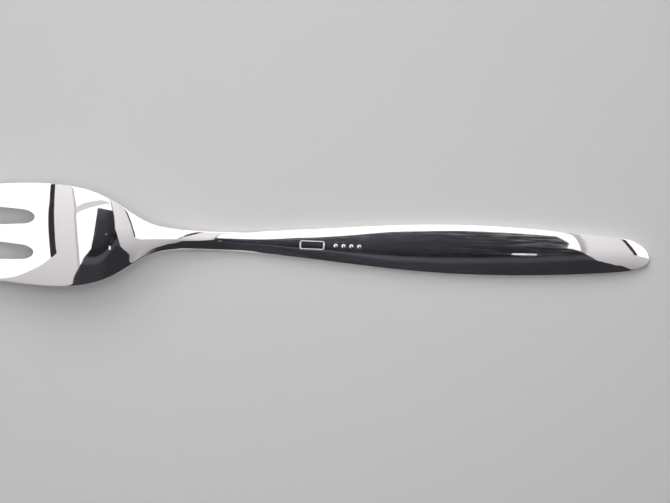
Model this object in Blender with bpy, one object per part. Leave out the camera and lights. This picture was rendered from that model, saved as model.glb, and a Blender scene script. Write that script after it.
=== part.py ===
"""A three-tined silver cake fork, stamped from one blank, lying with its back up.

Metres, +Z up. +X runs from the tine tips to the end of the handle, and +Y is the side of the
wide cutting tine. The origin is on the table under the middle of the fork. The fork lies on
the flat front of its handle and on its tine tips.
"""

import bmesh
import bpy
import numpy as np

# Lengths of the stretches of the fork, from the tine tips on
TINE_LENGTH = 0.0247
BOWL_LENGTH = 0.0253
NECK_LENGTH = 0.0200
HANDLE_LENGTH = 0.0800

# Widths
TIP_SPAN = 0.0162
HEAD_WIDTH = 0.0212
NECK_WIDTH = 0.0036
HANDLE_WIDTH = 0.0104
END_WIDTH = 0.0048

# Gaps between the tines, and the middle of each as a share of the half width
GAP_WIDTH_AT_TIPS = 0.0045
GAP_WIDTH_AT_ROOTS = 0.0024
CUTTING_GAP_AT_TIPS = 0.381
CUTTING_GAP_AT_ROOTS = 0.3225
PLAIN_GAP_AT_TIPS = 0.38
PLAIN_GAP_AT_ROOTS = 0.367

# Lengths of the round ends, and how far the handle's end leans to the plain side
GAP_ROOT_LENGTH = 0.0020
TINE_TIP_LENGTH = 0.0016
HANDLE_TIP_LENGTH = 0.0045
HANDLE_TIP_LEAN = 0.0007

# Heights and thicknesses of the fork as it lies
BOWL_HEIGHT = 0.0093
HANDLE_THICKNESS = 0.0026
HANDLE_TIP_THICKNESS = 0.0013
BOWL_THICKNESS = 0.0018
TINE_TIP_THICKNESS = 0.0015
EDGE_ROUNDING = 0.00015
# The outer tines stand on small flats at their tips, cut this deep
TINE_TIP_FLAT = 0.0004

# Radii of the back's crown across the fork
TIP_CROWN = 0.067
HEAD_CROWN = 0.031
NECK_CROWN = 0.00256
HANDLE_CROWN = 0.021

# Outline: share of the stretch's length, then how far the half width has come from the narrow
# to the wide end of that stretch, on the cutting side and on the plain side
OUTLINE = {
    "tines": ((0.0, 0.135, 0.04), (0.32, 0.455, 0.41), (0.67, 0.735, 0.655), (0.952, 0.91, 0.88)),
    "bowl": (
        (0.25, 0.94, 0.985),
        (0.445, 0.835, 0.91),
        (0.656, 0.573, 0.67),
        (0.822, 0.28, 0.36),
        (0.979, 0.097, 0.125),
    ),
    "neck": ((0.175, 0.041, 0.047), (0.425, 0.012, 0.022)),
    "handle": (
        (0.0, 0.158, 0.158),
        (0.156, 0.43, 0.43),
        (0.3625, 0.83, 0.83),
        (0.5375, 0.97, 0.97),
        (0.725, 0.86, 0.86),
        (0.8875, 0.597, 0.588),
        (0.95, 0.427, 0.41),
    ),
}

# Rise of the back along its middle: share of the stretch's length, rise per length
SLOPE = {
    "tines": ((0.0, 0.374), (0.41, 0.278), (0.81, 0.253)),
    "bowl": (
        (0.111, 0.129),
        (0.305, 0.012),
        (0.465, -0.029),
        (0.605, -0.132),
        (0.765, -0.274),
        (0.979, -0.426),
    ),
    "neck": ((0.25, -0.253), (0.65, -0.101), (1.0, 0.0)),
    "handle": ((0.79, 0.0), (0.956, -0.136), (1.0, -0.200)),
}

# Crown of the back: share of the stretch's length, then how far its curvature has come from
# the first to the second of the stretch's two radii
CROWN = {
    "tines": ((0.0, 0.0), (0.58, 0.863)),
    "bowl": ((0.025, 0.0), (0.485, 0.0), (0.795, 0.031)),
    "neck": ((0.0, 0.345), (0.25, 0.964), (0.8, 1.0)),
    "handle": ((0.105, 0.314), (0.36, 0.029), (0.56, 0.0), (1.0, 0.056)),
}

# Thickness of the plate: share of the stretch's length, share of the way from tip to bowl
PLATE = {"tines": ((0.0, 0.0), (1.0, 0.8)), "bowl": ((0.5, 1.0), (1.0, 1.0))}

# Places where the hollow front of the bowl begins to turn flat, and where it is flat
HOLLOW_FADES = ("bowl", 0.79)
HOLLOW_ENDS = ("neck", 0.95)

# Mesh: cells along each stretch and across each tine and gap
TINE_CELLS = 11
BOWL_CELLS = 19
NECK_CELLS = 12
HANDLE_CELLS = 18
HANDLE_END_CELLS = 8
HANDLE_END_AT = ("handle", 0.8)
CELLS_ACROSS = 4
EDGE_SEGMENTS = 2

# A round end is followed this far across its half width by the last row of the mesh
CORNER_AT = np.sin(np.radians(60))
CORNER_DEPTH = 1 - np.cos(np.radians(60))
# The rows bend towards a round end over this many times that depth
BEND_REACH = 3.0

STARTS = {
    "tines": (0.0, TINE_LENGTH),
    "bowl": (TINE_LENGTH, BOWL_LENGTH),
    "neck": (TINE_LENGTH + BOWL_LENGTH, NECK_LENGTH),
    "handle": (TINE_LENGTH + BOWL_LENGTH + NECK_LENGTH, HANDLE_LENGTH),
}
LENGTH = sum(STARTS["handle"])
WIDTHS = {
    "tines": (TIP_SPAN, HEAD_WIDTH),
    "bowl": (NECK_WIDTH, HEAD_WIDTH),
    "neck": (NECK_WIDTH, HEAD_WIDTH),
    "handle": (NECK_WIDTH, HANDLE_WIDTH),
}
CROWNS = {
    "tines": (TIP_CROWN, HEAD_CROWN),
    "bowl": (HEAD_CROWN, NECK_CROWN),
    "neck": (HEAD_CROWN, NECK_CROWN),
    "handle": (HANDLE_CROWN, NECK_CROWN),
}
CUTTING, PLAIN = 0, 1


def place(stretch, share):
    """Distance from the tine tips of a place in a stretch of the fork."""
    start, length = STARTS[stretch]
    return start + share * length


def smooth_curve(points):
    """Natural cubic spline through (place, value) points, as a function of the place."""
    at, value = np.array(points).T
    step = np.diff(at)
    rise = np.diff(value) / step
    system = np.eye(len(at))
    right = np.zeros(len(at))
    for i in range(1, len(at) - 1):
        system[i, i - 1 : i + 2] = step[i - 1], 2 * (step[i - 1] + step[i]), step[i]
        right[i] = 6 * (rise[i] - rise[i - 1])
    bend = np.linalg.solve(system, right)

    def curve(x):
        k = np.clip(np.searchsorted(at, x) - 1, 0, len(step) - 1)
        after = x - at[k]
        before = at[k + 1] - x
        cubic = (bend[k] * before**3 + bend[k + 1] * after**3) / (6 * step[k])
        start = (value[k] / step[k] - bend[k] * step[k] / 6) * before
        end = (value[k + 1] / step[k] - bend[k + 1] * step[k] / 6) * after
        return cubic + start + end

    return curve


def level_curve(points):
    """Cubic curve through (place, value) points that never swings past them."""
    at, value = np.array(points).T
    step = np.diff(at)
    rise = np.diff(value) / step
    lean = np.append(rise[:1], rise)
    turns = rise[1:] * rise[:-1] <= 0
    steepest = np.where(turns, 1, rise[1:] + rise[:-1])
    lean[1:-1] = np.where(turns, 0, 2 * rise[1:] * rise[:-1] / steepest)

    def curve(x):
        k = np.clip(np.searchsorted(at, x) - 1, 0, len(step) - 1)
        way = (x - at[k]) / step[k]
        left = 1 - way
        start = value[k] * (1 + 2 * way) + lean[k] * step[k] * way
        end = value[k + 1] * (1 + 2 * left) - lean[k + 1] * step[k] * left
        return start * left**2 + end * way**2

    return curve


def along(table):
    """The (place, value) points of a table that gives rows for each stretch of the fork."""
    return [(place(name, row[0]), row[1]) for name, rows in table.items() for row in rows]


def half_width_curve(side):
    """Half width along the fork on one side, before the ends are rounded."""
    points = []
    for name, rows in OUTLINE.items():
        narrow, wide = WIDTHS[name]
        for share, *ways in rows:
            points.append((place(name, share), (narrow + ways[side] * (wide - narrow)) / 2))
    points.append((LENGTH, END_WIDTH / 2))
    return smooth_curve(points)


def crown_curve():
    """Curvature of the back across the fork, along its length."""
    points = []
    for name, rows in CROWN.items():
        first, second = CROWNS[name]
        for share, way in rows:
            points.append((place(name, share), (1 - way) / first + way / second))
    return level_curve(points)


def back_height_curve():
    """Height of the back along the fork's middle, from its slopes and the named heights."""
    at = np.linspace(0, LENGTH, 1501)
    slope = level_curve(along(SLOPE))(at)
    rise = np.concatenate([[0], np.cumsum((slope[1:] + slope[:-1]) / 2 * np.diff(at))])
    top = int(np.argmax(rise))
    flat = int(np.searchsorted(at, place("handle", 0)))
    tip_height = TINE_TIP_THICKNESS - TINE_TIP_FLAT + crown_drop(0.0, TIP_SPAN / 2)
    marks = (0, top, flat, len(at) - 1)
    heights = (tip_height, BOWL_HEIGHT, HANDLE_THICKNESS, HANDLE_TIP_THICKNESS)
    height = np.empty_like(rise)
    for i in range(3):
        part = slice(marks[i], marks[i + 1] + 1)
        way = (rise[part] - rise[marks[i]]) / (rise[marks[i + 1]] - rise[marks[i]])
        height[part] = heights[i] + way * (heights[i + 1] - heights[i])
    return lambda x: np.interp(x, at, height)


def crown_drop(x, y):
    """How far the crowned back falls from its middle at a distance across."""
    curvature = crown(x)
    return (1 - np.sqrt(1 - np.minimum((curvature * y) ** 2, 0.96))) / curvature


def back_height(x, y):
    return middle_height(x) - crown_drop(x, y)


def front_height(x, y):
    """The front follows the back in the bowl and is flat on the table along the handle."""
    fades, ends = place(*HOLLOW_FADES), place(*HOLLOW_ENDS)
    way = np.clip((ends - x) / (ends - fades), 0, 1)
    hollow = way * way * (3 - 2 * way)
    plate = TINE_TIP_THICKNESS + plate_share(x) * (BOWL_THICKNESS - TINE_TIP_THICKNESS)
    return hollow * np.maximum(back_height(x, y) - plate, 0)


def round_end(depth, length):
    """Share of the full half width at a depth behind a round end."""
    return np.sqrt(1 - (1 - np.clip(depth / length, 0, 1)) ** 2)


def bend(across, length, distance):
    """How far a row bulges towards a round end, at a share across and a distance from it."""
    depth = CORNER_DEPTH * length
    bulge = length * (np.sqrt(1 - (CORNER_AT * across) ** 2) - 1) + depth
    return bulge * np.clip(1 - distance / (BEND_REACH * depth), 0, 1)


def stations():
    """Places of the mesh's rows, and the number of the row at the roots of the gaps."""
    first = CORNER_DEPTH * TINE_TIP_LENGTH
    root = TINE_LENGTH - CORNER_DEPTH * GAP_ROOT_LENGTH
    last = LENGTH - CORNER_DEPTH * HANDLE_TIP_LENGTH
    ends = (first, root, place("neck", 0), place("handle", 0), place(*HANDLE_END_AT), last)
    cells = (TINE_CELLS, BOWL_CELLS, NECK_CELLS, HANDLE_CELLS, HANDLE_END_CELLS)
    rows = [np.linspace(ends[i], ends[i + 1], count + 1)[:-1] for i, count in enumerate(cells)]
    return np.append(np.concatenate(rows), last), TINE_CELLS


def gap_walls(x, root):
    """Positions across the fork of the four walls of the gaps, from the plain side up."""
    way = min(x / TINE_LENGTH, 1)
    width = GAP_WIDTH_AT_TIPS + way**2 * (GAP_WIDTH_AT_ROOTS - GAP_WIDTH_AT_TIPS)
    cutting = CUTTING_GAP_AT_TIPS + way * (CUTTING_GAP_AT_ROOTS - CUTTING_GAP_AT_TIPS)
    plain = PLAIN_GAP_AT_TIPS + way * (PLAIN_GAP_AT_ROOTS - PLAIN_GAP_AT_TIPS)
    depth = max(TINE_LENGTH - x, TINE_LENGTH - root)
    half = width / 2 * round_end(depth, GAP_ROOT_LENGTH)
    if x > root:
        half *= half_width[CUTTING](x) / half_width[CUTTING](root)
    plain_middle = -plain * half_width[PLAIN](x)
    cutting_middle = cutting * half_width[CUTTING](x)
    return plain_middle - half, plain_middle + half, cutting_middle - half, cutting_middle + half


def plan_row(x, root):
    """Points of one row of the mesh, from the plain side to the cutting side."""
    end = round_end(LENGTH - x, HANDLE_TIP_LENGTH)
    walls = [-half_width[PLAIN](x), *gap_walls(x, root), half_width[CUTTING](x)]
    tip = round_end(x, TINE_TIP_LENGTH)
    points = []
    for band in range(5):
        low, high = walls[band], walls[band + 1]
        middle, half = (low + high) / 2, (high - low) / 2
        is_gap = band % 2 == 1
        for across in np.linspace(-1, 1, CELLS_ACROSS + 1)[band > 0 :]:
            if is_gap:
                shift = bend(across, GAP_ROOT_LENGTH, x - root) if x >= root else 0
            else:
                shift = -bend(across, TINE_TIP_LENGTH, x - CORNER_DEPTH * TINE_TIP_LENGTH)
            y = middle + across * half * (1 if is_gap else tip)
            points.append([x + shift, y])
    last = LENGTH - CORNER_DEPTH * HANDLE_TIP_LENGTH
    apex = -HANDLE_TIP_LEAN
    for point in points:
        edge = half_width[CUTTING](x) if point[1] > apex else -half_width[PLAIN](x)
        point[0] += bend((point[1] - apex) / (edge - apex), HANDLE_TIP_LENGTH, last - x)
        point[1] = apex + (point[1] - apex) * end
    return points


def flat_blank(rows, root_row):
    """Two flat layers of the blank, one unit apart, with the gaps between the tines cut out."""
    mesh = bmesh.new()
    columns = 5 * CELLS_ACROSS
    bmesh.ops.create_grid(mesh, x_segments=rows, y_segments=columns, size=0.5)
    gaps = []
    for face in mesh.faces:
        middle = face.calc_center_median()
        row = int((middle.x + 0.5) * rows)
        band = int((middle.y + 0.5) * columns) // CELLS_ACROSS
        if row < root_row and band % 2 == 1:
            gaps.append(face)
    bmesh.ops.delete(mesh, geom=gaps, context="FACES")
    bmesh.ops.solidify(mesh, geom=mesh.faces[:], thickness=1.0)
    return mesh, columns


def edge_loops(mesh):
    """Edges between the fork's sides and its back or front, before it is shaped."""
    sides = {face for face in mesh.faces if abs(face.normal.z) < 0.5}
    return [edge for edge in mesh.edges if len(sides.intersection(edge.link_faces)) == 1]


def fork_mesh():
    """The fork as a bent, crowned and hollowed plate with rounded edges."""
    places, root_row = stations()
    rows = len(places) - 1
    mesh, columns = flat_blank(rows, root_row)
    mesh.normal_update()
    rims = edge_loops(mesh)
    plan = [plan_row(x, places[root_row]) for x in places]
    middle = sum(vert.co.z for vert in mesh.verts) / len(mesh.verts)
    for vert in mesh.verts:
        row = round((vert.co.x + 0.5) * rows)
        column = round((vert.co.y + 0.5) * columns)
        x, y = plan[row][column]
        height = back_height(x, y) if vert.co.z > middle else front_height(x, y)
        vert.co = (x - LENGTH / 2, y, height)
    bmesh.ops.bevel(
        mesh,
        geom=rims,
        offset=EDGE_ROUNDING,
        segments=EDGE_SEGMENTS,
        profile=0.5,
        affect="EDGES",
        loop_slide=True,
    )
    bmesh.ops.recalc_face_normals(mesh, faces=mesh.faces[:])
    return mesh


def silver():
    material = bpy.data.materials.new("polished_silver")
    material.use_nodes = True
    shader = material.node_tree.nodes["Principled BSDF"]
    shader.inputs["Base Color"].default_value = (0.92, 0.90, 0.89, 1.0)
    shader.inputs["Metallic"].default_value = 1.0
    shader.inputs["Roughness"].default_value = 0.07
    return material


for old in list(bpy.data.objects):
    bpy.data.objects.remove(old, do_unlink=True)

half_width = (half_width_curve(CUTTING), half_width_curve(PLAIN))
crown = crown_curve()
plate_share = level_curve(along(PLATE))
middle_height = back_height_curve()

collection = bpy.data.collections.new("cake_fork")
bpy.context.scene.collection.children.link(collection)
blank = fork_mesh()
data = bpy.data.meshes.new("fork_body")
blank.to_mesh(data)
blank.free()
data.shade_smooth()
data.set_sharp_from_angle(angle=np.radians(40))
data.materials.append(silver())
collection.objects.link(bpy.data.objects.new("fork_body", data))
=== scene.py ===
"""A polished silver cake fork lying back up on a pale studio table, seen from straight above.

Metres, +Z up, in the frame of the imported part: +X from the tine tips to the end of the handle,
+Y on the side of the wide cutting tine, and the table at height zero.
"""

import bmesh
import bpy
import numpy as np
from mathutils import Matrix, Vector


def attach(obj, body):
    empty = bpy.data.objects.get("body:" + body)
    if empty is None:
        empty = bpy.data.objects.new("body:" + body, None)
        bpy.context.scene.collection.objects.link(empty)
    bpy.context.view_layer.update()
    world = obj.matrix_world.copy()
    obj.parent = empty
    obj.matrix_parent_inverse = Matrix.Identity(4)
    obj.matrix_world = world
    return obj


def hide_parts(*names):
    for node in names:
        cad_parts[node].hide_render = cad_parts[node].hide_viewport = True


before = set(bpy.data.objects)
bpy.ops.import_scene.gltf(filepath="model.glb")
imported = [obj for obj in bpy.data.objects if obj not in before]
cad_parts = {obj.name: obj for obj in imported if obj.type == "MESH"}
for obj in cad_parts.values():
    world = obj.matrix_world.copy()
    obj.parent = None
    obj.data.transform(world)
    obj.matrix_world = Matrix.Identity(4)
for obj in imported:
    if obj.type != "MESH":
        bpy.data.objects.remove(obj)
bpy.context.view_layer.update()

# Fork: lengths of its stretches, from the tine tips on
TINE_LENGTH = 0.0247
BOWL_LENGTH = 0.0253
NECK_LENGTH = 0.0200
HANDLE_LENGTH = 0.0800

# Fork: widths
TIP_SPAN = 0.0162
HEAD_WIDTH = 0.0212
NECK_WIDTH = 0.0036
HANDLE_WIDTH = 0.0104
END_WIDTH = 0.0048

# Fork: gaps between the tines, and the middle of each as a share of the half width
GAP_WIDTH_AT_TIPS = 0.0045
GAP_WIDTH_AT_ROOTS = 0.0024
CUTTING_GAP_AT_TIPS = 0.381
CUTTING_GAP_AT_ROOTS = 0.3225
PLAIN_GAP_AT_TIPS = 0.38
PLAIN_GAP_AT_ROOTS = 0.367

# Fork: lengths of the round ends, and how far the handle's end leans to the plain side
GAP_ROOT_LENGTH = 0.0020
TINE_TIP_LENGTH = 0.0016
HANDLE_TIP_LENGTH = 0.0045
HANDLE_TIP_LEAN = 0.0007

# Fork: heights and thicknesses as it lies
BOWL_HEIGHT = 0.0093
HANDLE_THICKNESS = 0.0026
HANDLE_TIP_THICKNESS = 0.0013
BOWL_THICKNESS = 0.0018
TINE_TIP_THICKNESS = 0.0015
EDGE_ROUNDING = 0.00015
# The outer tines stand on small flats at their tips, cut this deep
TINE_TIP_FLAT = 0.0004

# Fork: radii of the back's crown across it
TIP_CROWN = 0.067
HEAD_CROWN = 0.031
NECK_CROWN = 0.00256
HANDLE_CROWN = 0.021

# Outline: share of the stretch's length, then how far the half width has come from the narrow
# to the wide end of that stretch, on the cutting side and on the plain side
OUTLINE = {
    "tines": ((0.0, 0.135, 0.04), (0.32, 0.455, 0.41), (0.67, 0.735, 0.655), (0.952, 0.91, 0.88)),
    "bowl": (
        (0.25, 0.94, 0.985),
        (0.445, 0.835, 0.91),
        (0.656, 0.573, 0.67),
        (0.822, 0.28, 0.36),
        (0.979, 0.097, 0.125),
    ),
    "neck": ((0.175, 0.041, 0.047), (0.425, 0.012, 0.022)),
    "handle": (
        (0.0, 0.158, 0.158),
        (0.156, 0.43, 0.43),
        (0.3625, 0.83, 0.83),
        (0.5375, 0.97, 0.97),
        (0.725, 0.86, 0.86),
        (0.8875, 0.597, 0.588),
        (0.95, 0.427, 0.41),
    ),
}

# Rise of the back along its middle: share of the stretch's length, rise per length
SLOPE = {
    "tines": ((0.0, 0.374), (0.41, 0.278), (0.81, 0.253)),
    "bowl": (
        (0.111, 0.129),
        (0.305, 0.012),
        (0.465, -0.029),
        (0.605, -0.132),
        (0.765, -0.274),
        (0.979, -0.426),
    ),
    "neck": ((0.25, -0.253), (0.65, -0.101), (1.0, 0.0)),
    "handle": ((0.79, 0.0), (0.956, -0.136), (1.0, -0.200)),
}

# Crown of the back: share of the stretch's length, then how far its curvature has come from
# the first to the second of the stretch's two radii
CROWN = {
    "tines": ((0.0, 0.0), (0.58, 0.863)),
    "bowl": ((0.025, 0.0), (0.485, 0.0), (0.795, 0.031)),
    "neck": ((0.0, 0.345), (0.25, 0.964), (0.8, 1.0)),
    "handle": ((0.105, 0.314), (0.36, 0.029), (0.56, 0.0), (1.0, 0.056)),
}

# Thickness of the plate: share of the stretch's length, share of the way from tip to bowl
PLATE = {"tines": ((0.0, 0.0), (1.0, 0.8)), "bowl": ((0.5, 1.0), (1.0, 1.0))}

# Places where the hollow front of the bowl begins to turn flat, and where it is flat
HOLLOW_FADES = ("bowl", 0.79)
HOLLOW_ENDS = ("neck", 0.95)

# Each stretch: its start and length, its narrow and wide widths, the two radii of its crown
STARTS = {
    "tines": (0.0, TINE_LENGTH),
    "bowl": (TINE_LENGTH, BOWL_LENGTH),
    "neck": (TINE_LENGTH + BOWL_LENGTH, NECK_LENGTH),
    "handle": (TINE_LENGTH + BOWL_LENGTH + NECK_LENGTH, HANDLE_LENGTH),
}
LENGTH = sum(STARTS["handle"])
WIDTHS = {
    "tines": (TIP_SPAN, HEAD_WIDTH),
    "bowl": (NECK_WIDTH, HEAD_WIDTH),
    "neck": (NECK_WIDTH, HEAD_WIDTH),
    "handle": (NECK_WIDTH, HANDLE_WIDTH),
}
CROWNS = {
    "tines": (TIP_CROWN, HEAD_CROWN),
    "bowl": (HEAD_CROWN, NECK_CROWN),
    "neck": (HEAD_CROWN, NECK_CROWN),
    "handle": (HANDLE_CROWN, NECK_CROWN),
}

# Numbers of the fork's two sides in a row of the outline and in half_width
CUTTING, PLAIN = 0, 1

# Samples along the back's slope, and the squared share of the crown's radius past which the
# back falls no further
SLOPE_SAMPLES = 6001
CROWN_LIMIT = 0.96

# Fork mesh: cells along each stretch, and across each of the three tines and two gaps
TINE_CELLS = 30
BOWL_CELLS = 48
NECK_CELLS = 36
HANDLE_CELLS = 60
HANDLE_END_CELLS = 26
HANDLE_END_AT = ("handle", 0.8)
BANDS_ACROSS = 5
CELLS_ACROSS = 8
COLUMNS = BANDS_ACROSS * CELLS_ACROSS
EDGE_SEGMENTS = 3
SMOOTHING_LEVELS = 1

# Fork mesh: angle from a round end's apex to the corners of its outermost row, the share of
# the half width and of the end's length there, and how many such depths back the rows bulge
CORNER_ANGLE = np.radians(60)
CORNER_AT = np.sin(CORNER_ANGLE)
CORNER_DEPTH = 1 - np.cos(CORNER_ANGLE)
BEND_REACH = 3.0

# Fork mesh: places of the first row, of the row at the roots of the gaps, and of the last row
FIRST_ROW_AT = CORNER_DEPTH * TINE_TIP_LENGTH
ROOT_ROW_AT = TINE_LENGTH - CORNER_DEPTH * GAP_ROOT_LENGTH
LAST_ROW_AT = LENGTH - CORNER_DEPTH * HANDLE_TIP_LENGTH

# Silver: colour, and roughness between and in its hairline scratches
SILVER_COLOUR = (0.93, 0.92, 0.92)
POLISHED_ROUGHNESS = 0.012
SCRATCHED_ROUGHNESS = 0.21

# Silver: noises, as cells a metre along and across the fork, then detail
HAIRLINE_NOISE = (150.0, 20000.0, 0.0)
STREAK_NOISE = (70.0, 7000.0, 1.0)
WAVE_NOISE = (90.0, 160.0, 0.0)
SCRATCH_NOISE = (200.0, 3500.0, 2.0)
WAVE_DEPTH = 0.0000025
SCRATCH_DEPTH = 0.0000003

# Silver: where a change starts and ends, then its level at both, over the values of the two
# noises, and along the fork from the head to the worn handle and on to its spared tip
HAIRLINE_FADE = (0.58, 0.66, 0.0, 1.0)
STREAK_FADE = (0.33, 0.67, 0.4, 1.0)
HANDLE_WEAR_FADE = (-0.035, 0.010, 0.3, 1.0)
TIP_WEAR_FADE = (0.055, 0.064, 1.0, 0.3)

# Plain marks on the back of the handle: a beaded frame and a row of studs
BEADED_FRAME_AT = (0.0060, -0.0003)
BEADED_FRAME_HALF_SIZE = (0.00240, 0.00080)
BEADED_FRAME_CORNER_RADIUS = 0.00035
BEADED_FRAME_CORNER_STEPS = 5
BEAD_RADIUS = 0.00018
BEAD_SUNK = 0.00009
BEAD_SIDES = 10
FIRST_STUD_AT = (0.0108, -0.0002)
STUD_PITCH = 0.0016
STUD_COUNT = 4
STUD_RADIUS = 0.00042
STUD_HEIGHT = 0.00014
STUD_SEGMENTS = 20

# Camera: its picture's width, what a pixel covers on the table, and its place over the fork, as
# the photograph's perspective gives them
PHOTO_WIDTH = 670
METRES_PER_PIXEL = 0.000205
CAMERA_OVER = (0.0107, -0.00136)
CAMERA_HEIGHT = 0.600
CAMERA_NEAREST = 0.01
FORK_TILT = np.arctan(0.0371)
SENSOR_MILLIMETRES = 36.0

# Studio: where the panels that the silver mirrors hang, and how far the room and table reach
CEILING_HEIGHT = 0.64
SOFTBOX_HEIGHT = 0.62
RIM_HEIGHT = 0.619
FLAG_HEIGHT = 0.50
LAMP_HEIGHT = 0.499
RAIL_HEIGHT = 0.12
CARD_HEIGHT = 0.05
ROOM_REACH = 2.4
TABLE_REACH = 3.4

# Studio: colours and levels of the panels and the walls
CEILING_COLOUR = (0.97, 0.93, 0.945)
CLOTH_COLOUR = (0.97, 0.93, 1.12)
SOFTBOX_FRAME_COLOUR = (0.036, 0.029, 0.033)
CARD_COLOUR = (0.032, 0.031, 0.037)
WHITE_LEVEL = 1.25
WEST_RIM_LEVEL = 0.50
EAST_RIM_LEVEL = 0.40
RAIL_LEVEL = 0.68
LAMP_LEVEL = 1.0
FAINT_GLINT_LEVEL = 0.30
SOUTH_WALL_LEVEL = 0.04
WEST_WALL_LEVEL = 0.7
EAST_WALL_LEVEL = 0.4

# Studio: where a painted shade starts and ends along the room, then its level at both: the
# ceiling's to the south and to the east, and the start, end and depth of its dark area; the
# overhead panel's soft shade; and the cloth's shade to the east
CEILING_SOUTH_FADE = (0.5, -0.9, 0.95, 0.50)
CEILING_EAST_FADE = (0.15, 1.2, 1.0, 0.62)
DARK_START_FADE = (0.0, 0.12, 0.0, 1.0)
DARK_END_FADE = (0.34, 0.60, 1.0, 0.35)
DARK_DEPTH_FADE = (0.10, -0.25, 0.0, 0.45)
PANEL_SHADE_FADE = (0.126, 0.144, 0.44, 0.76)
CLOTH_EAST_FADE = (0.03, 0.08, 1.0, 0.75)

# Studio: table top, and the distances at which it turns into the backdrop
TABLE_COLOUR = (0.72, 0.72, 0.72)
TABLE_ROUGHNESS = 0.8
TABLE_SPECULAR = 0.2
TABLE_GRAIN_NOISE = (2500.0, 2500.0, 3.0)
TABLE_GRAIN_DEPTH = 0.000012
BACKDROP_COLOUR = (0.56, 0.56, 0.56)
BACKDROP_FROM_TO = (0.10, 0.32)

# Studio: place, size and power of the lights, and colour and level of the light from all sides
NORTH_LIGHT = ((-0.10, 0.46, 0.42), (0.8, 0.5), 2.3)
TOP_LIGHT = ((-0.015, 0.028, 0.28), (0.16, 0.14), 0.30)
SKY_COLOUR = (1.0, 1.0, 1.0)
SKY_LEVEL = 0.12

# West softbox: its dark frame and its white, seen from above
WEST_FRAME_INNER = (
    (-0.311, 0.532),
    (-0.285, 0.312),
    (-0.280, 0.209),
    (-0.268, 0.046),
    (-0.259, -0.066),
    (-0.252, -0.213),
)
WEST_FRAME_OUTER = (
    (-0.205, -0.160),
    (-0.214, -0.081),
    (-0.222, 0.022),
    (-0.241, 0.218),
    (-0.254, 0.356),
    (-0.275, 0.529),
)
WEST_FRAME = ((-0.50, ROOM_REACH), *WEST_FRAME_INNER, *WEST_FRAME_OUTER, (-0.43, ROOM_REACH))
WEST_SOFTBOX_SOUTH = ((-0.295, -0.259), (-0.347, -0.314), (-0.408, -0.364), (-0.494, -0.448))
WEST_SOFTBOX = (
    (-0.50, ROOM_REACH),
    *WEST_FRAME_INNER,
    *WEST_SOFTBOX_SOUTH,
    (-ROOM_REACH, -2.2),
    (-ROOM_REACH, ROOM_REACH),
)

# Overhead panel: its west and east edges, the width of its grey rim along the west edge and at
# each point of the east edge, and the width of the soft shade past the east rim
OVERHEAD_WEST = (
    (-0.350, ROOM_REACH),
    (-0.180, 0.900),
    (-0.129, 0.455),
    (-0.111, 0.312),
    (-0.103, 0.240),
    (-0.102, 0.193),
    (-0.094, 0.028),
    (-0.089, -0.119),
    (-0.089, -0.300),
)
OVERHEAD_EAST = (
    (0.124, -0.300),
    (0.124, 0.060),
    (0.123, 0.166),
    (0.1225, 0.245),
    (0.120, 0.333),
    (0.128, 0.500),
    (0.140, 0.820),
    (0.140, ROOM_REACH),
)
WEST_RIM_WIDTH = 0.007
EAST_RIM_WIDTHS = (0.012, 0.0105, 0.0085, 0.005, 0.003, 0.003, 0.003, 0.003)
PANEL_SHADE_WIDTH = 0.009

# Low grey rail under the overhead panel
RAIL = (
    (-0.0538, 0.0492),
    (-0.0487, 0.0589),
    (-0.0431, 0.0631),
    (-0.0284, 0.0672),
    (-0.0084, 0.0650),
    (-0.0084, 0.0627),
    (-0.0175, 0.0605),
    (-0.0363, 0.0537),
    (-0.0441, 0.0500),
    (-0.0487, 0.0448),
    (-0.0529, 0.0378),
)

# East softbox: the middle of its dark frame with the frame's width at each point, and the south
# edge of its white
EAST_FRAME_MIDDLE = (
    (0.450, ROOM_REACH),
    (0.360, 1.490),
    (0.300, 0.870),
    (0.286, 0.460),
    (0.289, 0.290),
    (0.300, 0.200),
    (0.317, 0.085),
    (0.331, 0.010),
)
EAST_FRAME_WIDTHS = (0.050, 0.050, 0.050, 0.040, 0.019, 0.018, 0.018, 0.018)
EAST_SOFTBOX_SOUTH = ((0.360, -0.010), (0.420, -0.030), (ROOM_REACH, -0.120))

# Lamp, and the west and east edges of the black flag that it hangs under
LAMP = ((0.0770, -0.034), (0.0862, -0.032), (0.0862, -0.015), (0.0770, -0.017))
FLAG_WEST = (
    (-0.026, 0.200),
    (-0.033, 0.117),
    (-0.040, 0.027),
    (-0.051, -0.083),
    (-0.068, -0.141),
    (-0.082, -0.229),
    (-0.099, -0.331),
    (-0.105, -0.396),
    (-0.130, -0.600),
    (-0.300, -2.0),
)
FLAG_EAST = (
    (2.0, -2.0),
    (2.0, -0.42),
    (0.90, -0.45),
    (0.70, -0.50),
    (0.55, -0.50),
    (0.42, -0.43),
    (0.33, -0.33),
    (0.29, -0.262),
    (0.27, -0.24),
    (0.242, -0.161),
    (0.192, -0.115),
    (0.151, -0.075),
    (0.123, -0.006),
    (0.110, 0.036),
    (0.098, 0.059),
    (0.101, 0.120),
    (0.100, 0.200),
)

# Low black cards, which darken the silver's south edge at the end of the bowl and at the tip
BOWL_CARD = (
    (-0.0054, -0.0250),
    (0.0010, -0.0302),
    (0.0156, -0.0320),
    (0.0285, -0.0350),
    (0.0360, -0.0400),
    (0.0360, -0.0560),
    (0.0180, -0.0520),
    (-0.0010, -0.0450),
)
TIP_CARD = (
    (0.0743, -0.0120),
    (0.0794, -0.0145),
    (0.0848, -0.0152),
    (0.0877, -0.0179),
    (0.0915, -0.0222),
    (0.0942, -0.0214),
    (0.0966, -0.0185),
    (0.0990, -0.0165),
    (0.0990, -0.0240),
    (0.0945, -0.0300),
    (0.0743, -0.0320),
)

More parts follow.
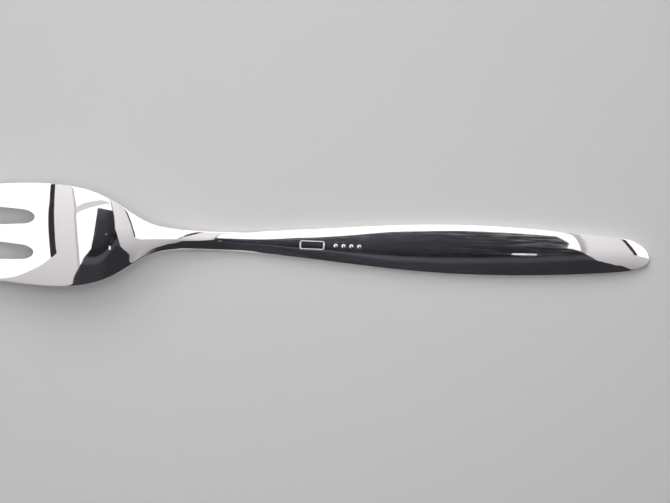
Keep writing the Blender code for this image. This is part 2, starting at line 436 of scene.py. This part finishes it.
# Low glints mirrored in the bowl, and the black card that keeps the lamp out of it
BOWL_GLINT = ((-0.0270, -0.0074), (-0.0256, -0.0074), (-0.0254, -0.0105), (-0.0268, -0.0105))
FAINT_GLINT = ((-0.0301, 0.0024), (-0.0291, 0.0024), (-0.0291, 0.0010), (-0.0301, 0.0010))
LAMP_SHADE = ((-0.0264, -0.0008), (-0.0234, -0.0008), (-0.0234, -0.0048), (-0.0264, -0.0048))

# Black cloth of the flag: start, rise and bow of the curve that its soft fold runs along, where
# that curve ends, how far the fold reaches to both sides, and levels at distances across it,
# which paint light on the fold and towards the north end
FOLD_CURVE = (-0.155, 0.55, 5.0)
FOLD_CURVE_END = 0.11
FOLD_REACH = (-0.35, 0.40)
CLOTH_LEVELS = (
    (-0.35, 0.040),
    (-0.05, 0.040),
    (-0.02, 0.085),
    (0.01, 0.085),
    (0.03, 0.018),
    (0.06, 0.020),
    (0.12, 0.036),
    (0.25, 0.052),
    (0.33, 0.085),
    (0.38, 0.130),
)


def place(stretch, share):
    """Distance from the tine tips of a place in a stretch of the fork."""
    start, length = STARTS[stretch]
    return start + share * length


def smooth_curve(points):
    """Natural cubic spline through (place, value) points, as a function of the place."""
    at, value = np.array(points).T
    step = np.diff(at)
    rise = np.diff(value) / step
    system = np.eye(len(at))
    right = np.zeros(len(at))
    for i in range(1, len(at) - 1):
        system[i, i - 1 : i + 2] = step[i - 1], 2 * (step[i - 1] + step[i]), step[i]
        right[i] = 6 * (rise[i] - rise[i - 1])
    bend = np.linalg.solve(system, right)

    def curve(x):
        k = np.clip(np.searchsorted(at, x) - 1, 0, len(step) - 1)
        after = x - at[k]
        before = at[k + 1] - x
        cubic = (bend[k] * before**3 + bend[k + 1] * after**3) / (6 * step[k])
        start = (value[k] / step[k] - bend[k] * step[k] / 6) * before
        end = (value[k + 1] / step[k] - bend[k + 1] * step[k] / 6) * after
        return cubic + start + end

    return curve


def level_curve(points):
    """Cubic curve through (place, value) points that never swings past them."""
    at, value = np.array(points).T
    step = np.diff(at)
    rise = np.diff(value) / step
    lean = np.append(rise[:1], rise)
    turns = rise[1:] * rise[:-1] <= 0
    steepest = np.where(turns, 1, rise[1:] + rise[:-1])
    lean[1:-1] = np.where(turns, 0, 2 * rise[1:] * rise[:-1] / steepest)

    def curve(x):
        k = np.clip(np.searchsorted(at, x) - 1, 0, len(step) - 1)
        way = (x - at[k]) / step[k]
        left = 1 - way
        start = value[k] * (1 + 2 * way) + lean[k] * step[k] * way
        end = value[k + 1] * (1 + 2 * left) - lean[k + 1] * step[k] * left
        return start * left**2 + end * way**2

    return curve


def along(table):
    """The (place, value) points of a table that gives rows for each stretch of the fork."""
    return [(place(name, row[0]), row[1]) for name, rows in table.items() for row in rows]


def half_width_curve(side):
    """Half width along the fork on one side, before the ends are rounded."""
    points = []
    for name, rows in OUTLINE.items():
        narrow, wide = WIDTHS[name]
        for share, *ways in rows:
            points.append((place(name, share), (narrow + ways[side] * (wide - narrow)) / 2))
    points.append((LENGTH, END_WIDTH / 2))
    return smooth_curve(points)


def crown_curve():
    """Curvature of the back across the fork, along its length."""
    points = []
    for name, rows in CROWN.items():
        first, second = CROWNS[name]
        for share, way in rows:
            points.append((place(name, share), (1 - way) / first + way / second))
    return level_curve(points)


def back_height_curve():
    """Height of the back along the fork's middle, from its slopes and the named heights."""
    at = np.linspace(0, LENGTH, SLOPE_SAMPLES)
    slope = level_curve(along(SLOPE))(at)
    rise = np.concatenate([[0], np.cumsum((slope[1:] + slope[:-1]) / 2 * np.diff(at))])
    top = int(np.argmax(rise))
    flat = int(np.searchsorted(at, place("handle", 0)))
    tip_height = TINE_TIP_THICKNESS - TINE_TIP_FLAT + crown_drop(0.0, TIP_SPAN / 2)
    marks = (0, top, flat, len(at) - 1)
    heights = (tip_height, BOWL_HEIGHT, HANDLE_THICKNESS, HANDLE_TIP_THICKNESS)
    height = np.empty_like(rise)
    for i in range(len(marks) - 1):
        part = slice(marks[i], marks[i + 1] + 1)
        way = (rise[part] - rise[marks[i]]) / (rise[marks[i + 1]] - rise[marks[i]])
        height[part] = heights[i] + way * (heights[i + 1] - heights[i])
    return lambda x: np.interp(x, at, height)


def crown_drop(x, y):
    """How far the crowned back falls from its middle at a distance across."""
    curvature = crown(x)
    return (1 - np.sqrt(1 - np.minimum((curvature * y) ** 2, CROWN_LIMIT))) / curvature


def back_height(x, y):
    """Height of the back at a distance from the tine tips and a distance across."""
    return middle_height(x) - crown_drop(x, y)


def front_height(x, y):
    """The front follows the back in the bowl and is flat on the table along the handle."""
    fades, ends = place(*HOLLOW_FADES), place(*HOLLOW_ENDS)
    way = np.clip((ends - x) / (ends - fades), 0, 1)
    hollow = way * way * (3 - 2 * way)
    plate = TINE_TIP_THICKNESS + plate_share(x) * (BOWL_THICKNESS - TINE_TIP_THICKNESS)
    return hollow * np.maximum(back_height(x, y) - plate, 0)


def round_end(depth, length):
    """Share of the full half width at a depth behind a round end."""
    return np.sqrt(1 - (1 - np.clip(depth / length, 0, 1)) ** 2)


def bend(across, length, distance):
    """How far a row bulges towards a round end, at a share across and a distance from it."""
    depth = CORNER_DEPTH * length
    bulge = length * (np.sqrt(1 - (CORNER_AT * across) ** 2) - 1) + depth
    return bulge * np.clip(1 - distance / (BEND_REACH * depth), 0, 1)


def stations():
    """Places of the mesh's rows along the fork."""
    stretch_ends = (place("neck", 0), place("handle", 0), place(*HANDLE_END_AT))
    ends = (FIRST_ROW_AT, ROOT_ROW_AT, *stretch_ends, LAST_ROW_AT)
    cells = (TINE_CELLS, BOWL_CELLS, NECK_CELLS, HANDLE_CELLS, HANDLE_END_CELLS)
    rows = [np.linspace(ends[i], ends[i + 1], count + 1)[:-1] for i, count in enumerate(cells)]
    return np.append(np.concatenate(rows), LAST_ROW_AT)


def gap_walls(x):
    """Positions across the fork of the four walls of the gaps, from the plain side up."""
    way = min(x / TINE_LENGTH, 1)
    width = GAP_WIDTH_AT_TIPS + way**2 * (GAP_WIDTH_AT_ROOTS - GAP_WIDTH_AT_TIPS)
    cutting = CUTTING_GAP_AT_TIPS + way * (CUTTING_GAP_AT_ROOTS - CUTTING_GAP_AT_TIPS)
    plain = PLAIN_GAP_AT_TIPS + way * (PLAIN_GAP_AT_ROOTS - PLAIN_GAP_AT_TIPS)
    depth = max(TINE_LENGTH - x, TINE_LENGTH - ROOT_ROW_AT)
    half = width / 2 * round_end(depth, GAP_ROOT_LENGTH)
    if x > ROOT_ROW_AT:
        half *= half_width[CUTTING](x) / half_width[CUTTING](ROOT_ROW_AT)
    plain_middle = -plain * half_width[PLAIN](x)
    cutting_middle = cutting * half_width[CUTTING](x)
    return plain_middle - half, plain_middle + half, cutting_middle - half, cutting_middle + half


def plan_row(x):
    """Points of one row of the mesh, from the plain side to the cutting side."""
    end = round_end(LENGTH - x, HANDLE_TIP_LENGTH)
    walls = [-half_width[PLAIN](x), *gap_walls(x), half_width[CUTTING](x)]
    tip = round_end(x, TINE_TIP_LENGTH)
    points = []
    for band in range(BANDS_ACROSS):
        low, high = walls[band], walls[band + 1]
        middle, half = (low + high) / 2, (high - low) / 2
        is_gap = band % 2 == 1
        for across in np.linspace(-1, 1, CELLS_ACROSS + 1)[band > 0 :]:
            if is_gap:
                shift = bend(across, GAP_ROOT_LENGTH, x - ROOT_ROW_AT) if x >= ROOT_ROW_AT else 0
            else:
                shift = -bend(across, TINE_TIP_LENGTH, x - FIRST_ROW_AT)
            y = middle + across * half * (1 if is_gap else tip)
            points.append([x + shift, y])
    apex = -HANDLE_TIP_LEAN
    for point in points:
        edge = half_width[CUTTING](x) if point[1] > apex else -half_width[PLAIN](x)
        point[0] += bend((point[1] - apex) / (edge - apex), HANDLE_TIP_LENGTH, LAST_ROW_AT - x)
        point[1] = apex + (point[1] - apex) * end
    return points


def flat_blank(rows):
    """Two flat layers of the blank, one unit apart, with the gaps between the tines cut out."""
    mesh = bmesh.new()
    bmesh.ops.create_grid(mesh, x_segments=rows, y_segments=COLUMNS, size=0.5)
    gaps = []
    for face in mesh.faces:
        middle = face.calc_center_median()
        row = int((middle.x + 0.5) * rows)
        band = int((middle.y + 0.5) * COLUMNS) // CELLS_ACROSS
        if row < TINE_CELLS and band % 2 == 1:
            gaps.append(face)
    bmesh.ops.delete(mesh, geom=gaps, context="FACES")
    bmesh.ops.solidify(mesh, geom=mesh.faces[:], thickness=1.0)
    return mesh


def edge_loops(mesh):
    """Edges between the fork's sides and its back or front, before it is shaped."""
    sides = {face for face in mesh.faces if abs(face.normal.z) < 0.5}
    return [edge for edge in mesh.edges if len(sides.intersection(edge.link_faces)) == 1]


def fork_mesh():
    """The fork as a bent, crowned and hollowed plate with rounded edges."""
    plan = [plan_row(x) for x in stations()]
    rows = len(plan) - 1
    mesh = flat_blank(rows)
    mesh.normal_update()
    rims = edge_loops(mesh)
    middle = sum(vert.co.z for vert in mesh.verts) / len(mesh.verts)
    for vert in mesh.verts:
        row = round((vert.co.x + 0.5) * rows)
        column = round((vert.co.y + 0.5) * COLUMNS)
        x, y = plan[row][column]
        height = back_height(x, y) if vert.co.z > middle else front_height(x, y)
        vert.co = (x - LENGTH / 2, y, height)
    bmesh.ops.bevel(
        mesh,
        geom=rims,
        offset=EDGE_ROUNDING,
        segments=EDGE_SEGMENTS,
        profile=0.5,
        affect="EDGES",
        loop_slide=True,
    )
    bmesh.ops.recalc_face_normals(mesh, faces=mesh.faces[:])
    return mesh


def object_place(tree):
    """A place in the object's own space."""
    return tree.nodes.new("ShaderNodeTexCoord").outputs["Object"]


def object_axes(tree):
    """A place in the object's own space, split into X, Y and Z."""
    split = tree.nodes.new("ShaderNodeSeparateXYZ")
    tree.links.new(object_place(tree), split.inputs["Vector"])
    return split.outputs


def stretched_noise(tree, cells_along, cells_across, detail):
    """Noise with its own number of cells a metre along X and across it, from 0 to 1."""
    stretch = tree.nodes.new("ShaderNodeMapping")
    stretch.inputs["Scale"].default_value = (cells_along, cells_across, cells_across)
    noise = tree.nodes.new("ShaderNodeTexNoise")
    noise.inputs["Scale"].default_value = 1.0
    noise.inputs["Detail"].default_value = detail
    tree.links.new(object_place(tree), stretch.inputs["Vector"])
    tree.links.new(stretch.outputs["Vector"], noise.inputs["Vector"])
    return noise.outputs["Fac"]


def spread(tree, value, start, end, first, last):
    """The value's range from start to end, stretched to run from first to last."""
    ramp = tree.nodes.new("ShaderNodeMapRange")
    ramp.inputs["From Min"].default_value = start
    ramp.inputs["From Max"].default_value = end
    ramp.inputs["To Min"].default_value = first
    ramp.inputs["To Max"].default_value = last
    tree.links.new(value, ramp.inputs["Value"])
    return ramp.outputs["Result"]


def fade(tree, axis, start, end, first, last):
    """A value that runs from first to last between two places along an object's axis."""
    return spread(tree, object_axes(tree)[axis], start, end, first, last)


def calculate(tree, operation, first, second):
    """Two values joined by a math node."""
    node = tree.nodes.new("ShaderNodeMath")
    node.operation = operation
    for socket, value in zip(node.inputs, (first, second)):
        if isinstance(value, (int, float)):
            socket.default_value = value
        else:
            tree.links.new(value, socket)
    return node.outputs["Value"]


def product(tree, first, *others):
    """Values multiplied by one another, in their order."""
    for other in others:
        first = calculate(tree, "MULTIPLY", first, other)
    return first


def dent(tree, height, depth, before):
    """A bump of the given depth in metres, laid over the bump before it."""
    bump = tree.nodes.new("ShaderNodeBump")
    bump.inputs["Strength"].default_value = 1.0
    bump.inputs["Distance"].default_value = depth
    tree.links.new(height, bump.inputs["Height"])
    if before is not None:
        tree.links.new(before, bump.inputs["Normal"])
    return bump.outputs["Normal"]


def solid_paint(name, colour):
    """A material that light falls on, with its node tree and its shader."""
    material = bpy.data.materials.new(name)
    material.use_nodes = True
    tree = material.node_tree
    shader = tree.nodes["Principled BSDF"]
    shader.inputs["Base Color"].default_value = (*colour, 1.0)
    return material, tree, shader


def silver():
    """Polished silver with low waves and with fine hairline scratches, most on the handle."""
    material, tree, shader = solid_paint("polished_silver", SILVER_COLOUR)
    shader.inputs["Metallic"].default_value = 1.0
    hairlines = spread(tree, stretched_noise(tree, *HAIRLINE_NOISE), *HAIRLINE_FADE)
    streaks = spread(tree, stretched_noise(tree, *STREAK_NOISE), *STREAK_FADE)
    handled = fade(tree, "X", *HANDLE_WEAR_FADE)
    spared = fade(tree, "X", *TIP_WEAR_FADE)
    wear = product(tree, handled, spared, streaks, hairlines)
    roughness = spread(tree, wear, 0.0, 1.0, POLISHED_ROUGHNESS, SCRATCHED_ROUGHNESS)
    tree.links.new(roughness, shader.inputs["Roughness"])
    waves = dent(tree, stretched_noise(tree, *WAVE_NOISE), WAVE_DEPTH, None)
    scratches = dent(tree, stretched_noise(tree, *SCRATCH_NOISE), SCRATCH_DEPTH, waves)
    tree.links.new(scratches, shader.inputs["Normal"])
    return material


def stud_mesh(x, y):
    """A low dome on the fork's back, with its lower half sunk in."""
    mesh = bmesh.new()
    segments = {"u_segments": STUD_SEGMENTS, "v_segments": STUD_SEGMENTS // 2}
    bmesh.ops.create_uvsphere(mesh, radius=1.0, **segments)
    top = Vector((x, y, back_height(x + LENGTH / 2, y)))
    for vert in mesh.verts:
        vert.co = top + vert.co * Vector((STUD_RADIUS, STUD_RADIUS, STUD_HEIGHT))
    return mesh


def beaded_frame_mesh():
    """A closed bead round a rectangle with round corners, half sunk into the fork's back."""
    mesh = bmesh.new()
    x, y = BEADED_FRAME_AT
    half_x, half_y = BEADED_FRAME_HALF_SIZE
    radius, steps = BEADED_FRAME_CORNER_RADIUS, BEADED_FRAME_CORNER_STEPS
    rings = []
    for corner, (side_x, side_y) in enumerate(((1, 1), (-1, 1), (-1, -1), (1, -1))):
        for step in range(steps + 1):
            angle = (corner + step / steps) * np.pi / 2
            out = Vector((np.cos(angle), np.sin(angle), 0))
            centre = Vector((x + side_x * (half_x - radius), y + side_y * (half_y - radius), 0))
            middle = centre + radius * out
            middle.z = back_height(middle.x + LENGTH / 2, middle.y) - BEAD_SUNK
            ring = []
            for turn in np.linspace(0, 2 * np.pi, BEAD_SIDES, endpoint=False):
                offset = out * np.cos(turn) + Vector((0, 0, np.sin(turn)))
                ring.append(mesh.verts.new(middle + offset * BEAD_RADIUS))
            rings.append(ring)
    for ring, next_ring in zip(rings, rings[1:] + rings[:1]):
        for i in range(BEAD_SIDES):
            j = (i + 1) % BEAD_SIDES
            mesh.faces.new((ring[i], next_ring[i], next_ring[j], ring[j]))
    bmesh.ops.recalc_face_normals(mesh, faces=mesh.faces[:])
    return mesh


def add_object(name, data):
    """A new object in the scene, from its mesh, light or camera."""
    piece = bpy.data.objects.new(name, data)
    bpy.context.scene.collection.objects.link(piece)
    return piece


def silver_piece(name, mesh, material):
    """An object of the fork, from a mesh that is then freed."""
    data = bpy.data.meshes.new(name)
    mesh.to_mesh(data)
    mesh.free()
    data.shade_smooth()
    data.materials.append(material)
    piece = add_object(name, data)
    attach(piece, "root")
    return piece


def make_fork():
    """The fork with its plain marks."""
    material = silver()
    fork = silver_piece("silver_fork", fork_mesh(), material)
    smooth = fork.modifiers.new("smooth", "SUBSURF")
    smooth.levels = SMOOTHING_LEVELS
    smooth.render_levels = SMOOTHING_LEVELS
    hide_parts("fork_body")
    silver_piece("beaded_frame", beaded_frame_mesh(), material)
    first_x, y = FIRST_STUD_AT
    for number in range(STUD_COUNT):
        silver_piece(f"stud_{number}", stud_mesh(first_x + number * STUD_PITCH, y), material)


def glow(name, colour):
    """A light-giving material, with its node tree and its emission shader."""
    material = bpy.data.materials.new(name)
    material.use_nodes = True
    tree = material.node_tree
    tree.nodes.clear()
    shader = tree.nodes.new("ShaderNodeEmission")
    shader.inputs["Color"].default_value = (*colour, 1.0)
    output = tree.nodes.new("ShaderNodeOutputMaterial")
    tree.links.new(shader.outputs["Emission"], output.inputs["Surface"])
    return material, tree, shader


def even_glow(name, colour):
    """A light-giving material of one colour."""
    return glow(name, colour)[0]


def grey_glow(name, level):
    """A light-giving material of one grey level."""
    return even_glow(name, (level, level, level))


def ceiling_glow_with_painted_shade():
    """Warm grey with painted shade, darker to the south and to the east, most of all in one area.
    """
    material, tree, shader = glow("ceiling_glow_with_painted_shade", CEILING_COLOUR)
    south = fade(tree, "Y", *CEILING_SOUTH_FADE)
    east = fade(tree, "X", *CEILING_EAST_FADE)
    starts = fade(tree, "X", *DARK_START_FADE)
    ends = fade(tree, "X", *DARK_END_FADE)
    deepens = fade(tree, "Y", *DARK_DEPTH_FADE)
    outside_dark = calculate(tree, "SUBTRACT", 1.0, product(tree, starts, ends, deepens))
    tree.links.new(product(tree, east, outside_dark, south), shader.inputs["Strength"])
    return material


def panel_shade():
    """Grey that brightens to the east, from the overhead panel's rim to the ceiling."""
    material, tree, shader = glow("panel_shade", CEILING_COLOUR)
    tree.links.new(fade(tree, "X", *PANEL_SHADE_FADE), shader.inputs["Strength"])
    return material


def level_steps(tree, value, start, end, steps):
    """A grey level that runs through (value, level) steps, of values from start to end."""
    ramp = tree.nodes.new("ShaderNodeValToRGB")
    stops = ramp.color_ramp.elements
    while len(stops) < len(steps):
        stops.new(1.0)
    for stop, (at, level) in zip(stops, steps):
        stop.position = (at - start) / (end - start)
        stop.color = (level, level, level, 1.0)
    tree.links.new(spread(tree, value, start, end, 0.0, 1.0), ramp.inputs["Fac"])
    return ramp.outputs["Color"]


def flag_cloth_with_painted_light():
    """Black cloth, with painted sheen on a soft fold and its north end and painted shade to the
    east.
    """
    material, tree, shader = glow("flag_cloth_with_painted_light", CLOTH_COLOUR)
    axes = object_axes(tree)
    start, rise, bow = FOLD_CURVE
    x = calculate(tree, "MINIMUM", axes["X"], FOLD_CURVE_END)
    sloped = calculate(tree, "ADD", product(tree, x, rise), start)
    fold = calculate(tree, "ADD", sloped, product(tree, x, x, bow))
    across = calculate(tree, "SUBTRACT", axes["Y"], fold)
    levels = level_steps(tree, across, *FOLD_REACH, CLOTH_LEVELS)
    east = spread(tree, axes["X"], *CLOTH_EAST_FADE)
    tree.links.new(product(tree, levels, east), shader.inputs["Strength"])
    return material


def show_in_mirrors_only(panel):
    """Keeps a panel from the camera and lets it light nothing but what mirrors it."""
    panel.visible_camera = False
    panel.visible_diffuse = False
    panel.visible_transmission = False
    panel.visible_volume_scatter = False
    panel.visible_shadow = False


def surface(name, points, material):
    """A flat object through the given corners."""
    data = bpy.data.meshes.new(name)
    data.from_pydata(points, [], [range(len(points))])
    data.materials.append(material)
    return add_object(name, data)


def level_surface(name, outline, height, material):
    """A level object with the given outline."""
    return surface(name, [(x, y, height) for x, y in outline], material)


def overhead(name, outline, height, material):
    """A level panel that only mirrors see."""
    show_in_mirrors_only(level_surface(name, outline, height, material))


def wall(name, corner, next_corner, material):
    """An upright panel from the table to the ceiling, which only mirrors see."""
    (x0, y0), (x1, y1) = corner, next_corner
    low, high = 0.0, CEILING_HEIGHT
    points = [(x0, y0, low), (x1, y1, low), (x1, y1, high), (x0, y0, high)]
    show_in_mirrors_only(surface(name, points, material))


def square(reach):
    """Corners of a square around the fork's middle, from the south-west one on."""
    return (-reach, -reach), (reach, -reach), (reach, reach), (-reach, reach)


def moved_east(line, distances):
    """The points of a line, each moved to the east by its own distance."""
    return [(x + distance, y) for (x, y), distance in zip(line, distances)]


def between(line, next_line):
    """Outline of the strip between two lines that run side by side."""
    return (*line, *next_line[::-1])


def make_west_softbox(white, dark):
    """The softbox beside the tine tips, with its frame."""
    overhead("west_softbox", WEST_SOFTBOX, SOFTBOX_HEIGHT, white)
    overhead("west_frame", WEST_FRAME, RIM_HEIGHT, dark)


def make_overhead_panel(white):
    """The panel with its grey rims and the soft shade past the east one, and the low rail."""
    overhead("overhead_panel", (*OVERHEAD_WEST, *OVERHEAD_EAST), SOFTBOX_HEIGHT, white)
    overhead("grey_rail", RAIL, RAIL_HEIGHT, grey_glow("grey_rail", RAIL_LEVEL))
    west_rim = moved_east(OVERHEAD_WEST, [-WEST_RIM_WIDTH] * len(OVERHEAD_WEST))
    west_grey = grey_glow("overhead_rim", WEST_RIM_LEVEL)
    overhead("overhead_rim", between(west_rim, OVERHEAD_WEST), RIM_HEIGHT, west_grey)
    east_rim = moved_east(OVERHEAD_EAST, EAST_RIM_WIDTHS)
    east_grey = grey_glow("east_rim", EAST_RIM_LEVEL)
    overhead("east_rim", between(OVERHEAD_EAST, east_rim), RIM_HEIGHT, east_grey)
    shade = moved_east(east_rim, [PANEL_SHADE_WIDTH] * len(east_rim))
    overhead("east_shade", between(east_rim, shade), RIM_HEIGHT, panel_shade())


def make_cards_and_glints():
    """Black cards and two glints, low beside the fork."""
    black = even_glow("black_card", CARD_COLOUR)
    overhead("bowl_card", BOWL_CARD, CARD_HEIGHT, black)
    overhead("tip_card", TIP_CARD, CARD_HEIGHT, black)
    overhead("lamp_shade", LAMP_SHADE, CARD_HEIGHT, black)
    overhead("bowl_glint", BOWL_GLINT, CARD_HEIGHT, grey_glow("bowl_glint", LAMP_LEVEL))
    faint = grey_glow("faint_glint", FAINT_GLINT_LEVEL)
    overhead("faint_glint", FAINT_GLINT, CARD_HEIGHT, faint)


def make_east_softbox(white, dark):
    """The softbox beside the handle's end, with its frame."""
    halves = [width / 2 for width in EAST_FRAME_WIDTHS]
    west_side = moved_east(EAST_FRAME_MIDDLE, [-half for half in halves])
    east_side = moved_east(EAST_FRAME_MIDDLE, halves)
    overhead("east_frame", between(west_side, east_side), RIM_HEIGHT, dark)
    east_softbox = (*EAST_FRAME_MIDDLE, *EAST_SOFTBOX_SOUTH, (ROOM_REACH, ROOM_REACH))
    overhead("east_softbox", east_softbox, SOFTBOX_HEIGHT, white)


def make_walls(white):
    """The room's four walls, the north one as bright as a softbox."""
    south_west, south_east, north_east, north_west = square(ROOM_REACH)
    wall("north_wall", north_east, north_west, white)
    wall("south_wall", south_west, south_east, grey_glow("south_wall", SOUTH_WALL_LEVEL))
    wall("west_wall", north_west, south_west, grey_glow("west_wall", WEST_WALL_LEVEL))
    wall("east_wall", south_east, north_east, grey_glow("east_wall", EAST_WALL_LEVEL))


def make_room():
    """All that the silver mirrors: the ceiling, the panels and low pieces under it, the walls."""
    white = grey_glow("softbox_white", WHITE_LEVEL)
    dark = even_glow("softbox_frame", SOFTBOX_FRAME_COLOUR)
    overhead("ceiling", square(ROOM_REACH), CEILING_HEIGHT, ceiling_glow_with_painted_shade())
    make_west_softbox(white, dark)
    make_overhead_panel(white)
    make_cards_and_glints()
    make_east_softbox(white, dark)
    overhead("black_flag", (*FLAG_WEST, *FLAG_EAST), FLAG_HEIGHT, flag_cloth_with_painted_light())
    overhead("lamp", LAMP, LAMP_HEIGHT, grey_glow("lamp", LAMP_LEVEL))
    make_walls(white)


def seen_directly(tree):
    """One for rays from the camera, a mirror or glass, and zero for rays that carry light."""
    path = tree.nodes.new("ShaderNodeLightPath")
    camera_or_mirror = calculate(
        tree, "MAXIMUM", path.outputs["Is Camera Ray"], path.outputs["Is Glossy Ray"]
    )
    return calculate(tree, "MAXIMUM", camera_or_mirror, path.outputs["Is Transmission Ray"])


def blend(tree, factor, first, second, target):
    """Two shaders mixed into the target socket."""
    mix = tree.nodes.new("ShaderNodeMixShader")
    tree.links.new(factor, mix.inputs[0])
    tree.links.new(first.outputs[0], mix.inputs[1])
    tree.links.new(second.outputs[0], mix.inputs[2])
    tree.links.new(mix.outputs[0], target)


def make_table():
    """A white table top with a faint grain, which turns into an even pale backdrop far out."""
    material, tree, shader = solid_paint("table_top", TABLE_COLOUR)
    shader.inputs["Roughness"].default_value = TABLE_ROUGHNESS
    shader.inputs["Specular IOR Level"].default_value = TABLE_SPECULAR
    grain = dent(tree, stretched_noise(tree, *TABLE_GRAIN_NOISE), TABLE_GRAIN_DEPTH, None)
    tree.links.new(grain, shader.inputs["Normal"])
    far = tree.nodes.new("ShaderNodeEmission")
    far.inputs["Color"].default_value = (*BACKDROP_COLOUR, 1.0)
    distance = tree.nodes.new("ShaderNodeVectorMath")
    distance.operation = "LENGTH"
    tree.links.new(object_place(tree), distance.inputs[0])
    out = spread(tree, distance.outputs["Value"], *BACKDROP_FROM_TO, 0.0, 1.0)
    factor = product(tree, out, seen_directly(tree))
    blend(tree, factor, shader, far, tree.nodes["Material Output"].inputs["Surface"])
    level_surface("table_top", square(TABLE_REACH), 0.0, material)


def area_light(name, position, size, power):
    """A rectangular light that shines at the fork's middle and that no mirror shows."""
    light = bpy.data.lights.new(name, "AREA")
    light.shape = "RECTANGLE"
    light.size, light.size_y = size
    light.energy = power
    lamp = add_object(name, light)
    lamp.location = position
    lamp.rotation_mode = "QUATERNION"
    lamp.rotation_quaternion = (-Vector(position)).to_track_quat("-Z", "Y")
    lamp.visible_glossy = False
    lamp.visible_camera = False


def make_sky():
    """Soft light from all sides, with the pale backdrop where the room is seen directly."""
    world = bpy.data.worlds.new("studio")
    bpy.context.scene.world = world
    world.use_nodes = True
    tree = world.node_tree
    sky = tree.nodes["Background"]
    sky.inputs["Color"].default_value = (*SKY_COLOUR, 1.0)
    sky.inputs["Strength"].default_value = SKY_LEVEL
    backdrop = tree.nodes.new("ShaderNodeBackground")
    backdrop.inputs["Color"].default_value = (*BACKDROP_COLOUR, 1.0)
    blend(tree, seen_directly(tree), sky, backdrop, tree.nodes["World Output"].inputs["Surface"])


def make_camera():
    """Straight above the fork, turned so that the fork slopes in the picture as in the photo."""
    data = bpy.data.cameras.new("camera")
    data.sensor_width = SENSOR_MILLIMETRES
    data.lens = CAMERA_HEIGHT / (PHOTO_WIDTH * METRES_PER_PIXEL) * SENSOR_MILLIMETRES
    data.clip_start = CAMERA_NEAREST
    camera = add_object("camera", data)
    camera.location = (*CAMERA_OVER, CAMERA_HEIGHT)
    camera.rotation_euler = (0, 0, FORK_TILT)
    bpy.context.scene.camera = camera


# Curves along the fork that its shape is worked out from
half_width = (half_width_curve(CUTTING), half_width_curve(PLAIN))
crown = crown_curve()
plate_share = level_curve(along(PLATE))
middle_height = back_height_curve()

bpy.context.scene.view_settings.view_transform = "Standard"
make_fork()
make_table()
make_room()
area_light("north_light", *NORTH_LIGHT)
area_light("top_light", *TOP_LIGHT)
make_sky()
make_camera()
